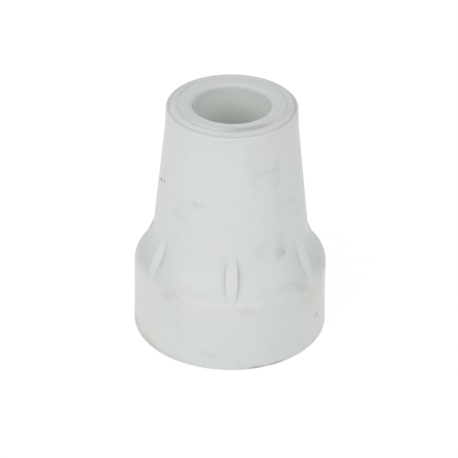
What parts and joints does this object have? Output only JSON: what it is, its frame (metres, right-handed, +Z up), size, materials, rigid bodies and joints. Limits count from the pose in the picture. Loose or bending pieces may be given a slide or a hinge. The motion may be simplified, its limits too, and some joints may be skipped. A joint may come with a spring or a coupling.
{
  "type": "rubber cane tip",
  "caption": "Moulded grey rubber tip for a walking cane: a tapered socket for the shaft, a wide round foot, and ribs across the cove between them.",
  "frame": {"origin": "centre of the flat sole, which is the lowest point of the tip", "axes": "+Z up along the axis of the socket, out of its mouth; -Y through the middle of one rib"},
  "size_m": [0.048, 0.048, 0.062],
  "materials": {
    "grey_rubber": "matt moulded rubber, light grey, slightly soiled"
  },
  "bodies": {
    "root": {"cane_tip": "grey_rubber"}
  },
  "joints": []
}
